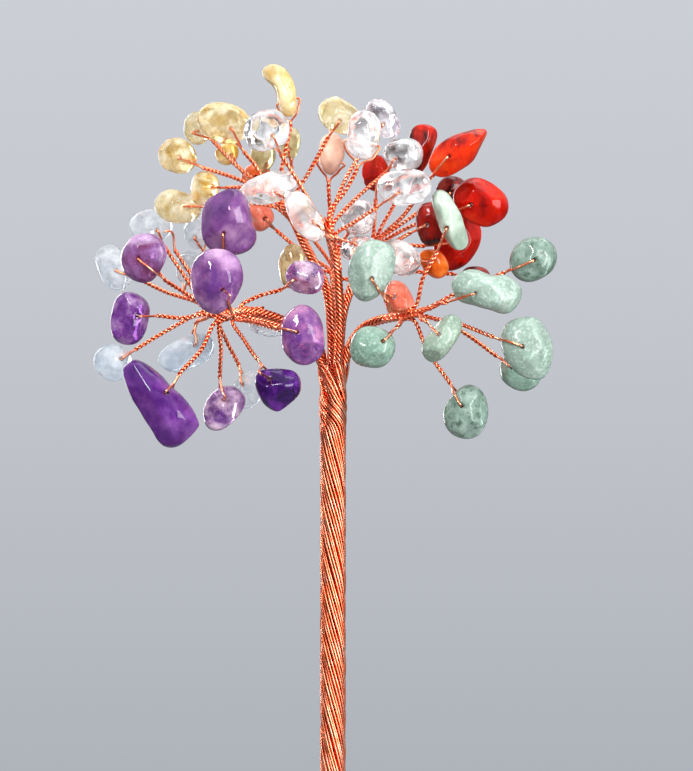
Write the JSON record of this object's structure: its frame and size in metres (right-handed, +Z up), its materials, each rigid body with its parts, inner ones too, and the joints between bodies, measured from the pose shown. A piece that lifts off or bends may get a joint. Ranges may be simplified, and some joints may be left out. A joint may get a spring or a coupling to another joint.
{
  "type": "gemstone tree ornament",
  "caption": "Small tree of twisted copper wire on a stone slab: a trunk of laid strands parts into ropes whose stems end in loops holding tumbled stone chips.",
  "frame": {"origin": "on the trunk's axis, on the underside of the slab", "axes": "+Z up along the trunk, -Y is the front that is looked at, +X to the right seen from the front"},
  "size_m": [0.0934, 0.0683, 0.1778],
  "materials": {
    "slab_stone": "rough broken stone with a dull face",
    "copper_wire": "bright drawn copper",
    "amethyst": "tumbled and polished",
    "aquamarine": "tumbled and polished",
    "citrine": "tumbled and polished",
    "quartz": "tumbled and polished",
    "jasper": "tumbled and polished",
    "aventurine": "tumbled and polished",
    "peach": "tumbled and polished"
  },
  "bodies": {
    "tree": {"slab": "slab_stone", "strand_amethyst": "copper_wire", "strand_aquamarine": "copper_wire", "strand_citrine": "copper_wire", "strand_quartz": "copper_wire", "strand_jasper": "copper_wire", "strand_aventurine": "copper_wire", "strand_peach": "copper_wire"},
    "branch_amethyst": {"rope_amethyst": "copper_wire", "stems_amethyst": "copper_wire", "chips_amethyst": "amethyst"},
    "chip_amethyst_3": {"chip_amethyst_3": "amethyst"},
    "chip_amethyst_4": {"chip_amethyst_4": "amethyst"},
    "chip_amethyst_7": {"chip_amethyst_7": "amethyst"},
    "branch_aquamarine": {"rope_aquamarine": "copper_wire", "stems_aquamarine": "copper_wire", "chips_aquamarine": "aquamarine"},
    "chip_aquamarine_4": {"chip_aquamarine_4": "aquamarine"},
    "branch_citrine": {"rope_citrine": "copper_wire", "stems_citrine": "copper_wire", "chips_citrine": "citrine"},
    "chip_citrine_2": {"chip_citrine_2": "citrine"},
    "chip_citrine_5": {"chip_citrine_5": "citrine"},
    "chip_citrine_6": {"chip_citrine_6": "citrine"},
    "branch_quartz": {"rope_quartz": "copper_wire", "stems_quartz": "copper_wire", "chips_quartz": "quartz"},
    "chip_quartz_2": {"chip_quartz_2": "quartz"},
    "chip_quartz_5": {"chip_quartz_5": "quartz"},
    "branch_jasper": {"rope_jasper": "copper_wire", "stems_jasper": "copper_wire", "chips_jasper": "jasper"},
    "chip_jasper_4": {"chip_jasper_4": "jasper"},
    "branch_aventurine": {"rope_aventurine": "copper_wire", "stems_aventurine": "copper_wire", "chips_aventurine": "aventurine"},
    "chip_aventurine_2": {"chip_aventurine_2": "aventurine"},
    "chip_aventurine_7": {"chip_aventurine_7": "aventurine"},
    "chip_aventurine_9": {"chip_aventurine_9": "aventurine"},
    "branch_peach": {"rope_peach": "copper_wire", "stems_peach": "copper_wire", "chips_peach": "peach"},
    "chip_peach_2": {"chip_peach_2": "peach"}
  },
  "joints": [
    {"name": "bend_amethyst", "type": "hinge", "parent": "tree", "child": "branch_amethyst", "pos_m": [-0.00313, -0.00352, 0.11898], "axis": [0.6428, -0.766, 0], "range_deg": [0, 14]},
    {"name": "bend_aquamarine", "type": "hinge", "parent": "tree", "child": "branch_aquamarine", "pos_m": [-0.00244, 0.00132, 0.11797], "axis": [-0.342, -0.9397, 0], "range_deg": [0, 14]},
    {"name": "bend_citrine", "type": "hinge", "parent": "tree", "child": "branch_citrine", "pos_m": [-0.00084, 0.00042, 0.12691], "axis": [0.2588, -0.9659, 0], "range_deg": [0, 12]},
    {"name": "bend_quartz", "type": "hinge", "parent": "tree", "child": "branch_quartz", "pos_m": [0.00113, -0.00273, 0.12178], "axis": [0.9781, -0.2079, 0], "range_deg": [0, 8]},
    {"name": "bend_jasper", "type": "hinge", "parent": "tree", "child": "branch_jasper", "pos_m": [0.00166, 0.0024, 0.12255], "axis": [-0.309, 0.9511, 0], "range_deg": [0, 14]},
    {"name": "bend_aventurine", "type": "hinge", "parent": "tree", "child": "branch_aventurine", "pos_m": [0.00263, -0.00092, 0.11795], "axis": [0.6428, 0.766, 0], "range_deg": [0, 14]},
    {"name": "bend_peach", "type": "hinge", "parent": "tree", "child": "branch_peach", "pos_m": [-0.00026, 0.00337, 0.11998], "axis": [-0.9659, 0.2588, 0], "range_deg": [0, 12]},
    {"name": "swing_amethyst_3", "type": "hinge", "parent": "branch_amethyst", "child": "chip_amethyst_3", "pos_m": [-0.03229, -0.01811, 0.11169], "axis": [-0.0872, -0.9962, 0], "range_deg": [-6, 6]},
    {"name": "swing_amethyst_4", "type": "hinge", "parent": "branch_amethyst", "child": "chip_amethyst_4", "pos_m": [-0.02212, -0.00802, 0.11031], "axis": [0.1736, -0.9848, 0], "range_deg": [-15, 15]},
    {"name": "swing_amethyst_7", "type": "hinge", "parent": "branch_amethyst", "child": "chip_amethyst_7", "pos_m": [-0.01194, -0.01981, 0.11448], "axis": [-0.1392, -0.9903, 0], "range_deg": [-20, 20]},
    {"name": "swing_aquamarine_4", "type": "hinge", "parent": "branch_aquamarine", "child": "chip_aquamarine_4", "pos_m": [-0.04362, 0.01625, 0.11852], "axis": [0.2079, -0.9781, 0], "range_deg": [-15, 15]},
    {"name": "swing_citrine_2", "type": "hinge", "parent": "branch_citrine", "child": "chip_citrine_2", "pos_m": [-0.02102, 0.00218, 0.16446], "axis": [0.1736, -0.9848, 0], "range_deg": [-12, 12]},
    {"name": "swing_citrine_5", "type": "hinge", "parent": "branch_citrine", "child": "chip_citrine_5", "pos_m": [-0.02997, -0.00217, 0.15846], "axis": [-0.1736, -0.9848, 0], "range_deg": [-15, 15]},
    {"name": "swing_citrine_6", "type": "hinge", "parent": "branch_citrine", "child": "chip_citrine_6", "pos_m": [-0.00977, 0.00225, 0.17009], "axis": [-0.9659, 0, -0.2588], "range_deg": [-10, 10]},
    {"name": "swing_quartz_2", "type": "hinge", "parent": "branch_quartz", "child": "chip_quartz_2", "pos_m": [0.00569, -0.00619, 0.16136], "axis": [-0.9848, 0, 0.1736], "range_deg": [-10, 10]},
    {"name": "swing_quartz_5", "type": "hinge", "parent": "branch_quartz", "child": "chip_quartz_5", "pos_m": [0.01283, -0.00187, 0.15824], "axis": [-0.1392, -0.9903, 0], "range_deg": [-12, 12]},
    {"name": "swing_jasper_4", "type": "hinge", "parent": "branch_jasper", "child": "chip_jasper_4", "pos_m": [0.02352, -0.00183, 0.15864], "axis": [-0.1392, -0.9903, 0], "range_deg": [-12, 12]},
    {"name": "swing_aventurine_2", "type": "hinge", "parent": "branch_aventurine", "child": "chip_aventurine_2", "pos_m": [0.03897, -0.00814, 0.13786], "axis": [0.2079, -0.9781, 0], "range_deg": [-15, 15]},
    {"name": "swing_aventurine_7", "type": "hinge", "parent": "branch_aventurine", "child": "chip_aventurine_7", "pos_m": [0.02585, -0.01491, 0.10912], "axis": [-0.1736, -0.9848, 0], "range_deg": [-20, 20]},
    {"name": "swing_aventurine_9", "type": "hinge", "parent": "branch_aventurine", "child": "chip_aventurine_9", "pos_m": [0.00915, -0.01677, 0.12175], "axis": [0.1736, -0.9848, 0], "range_deg": [-15, 15]},
    {"name": "swing_peach_2", "type": "hinge", "parent": "branch_peach", "child": "chip_peach_2", "pos_m": [-0.00054, 0.01014, 0.15835], "axis": [-0.9962, 0, 0.0872], "range_deg": [-10, 10]}
  ]
}
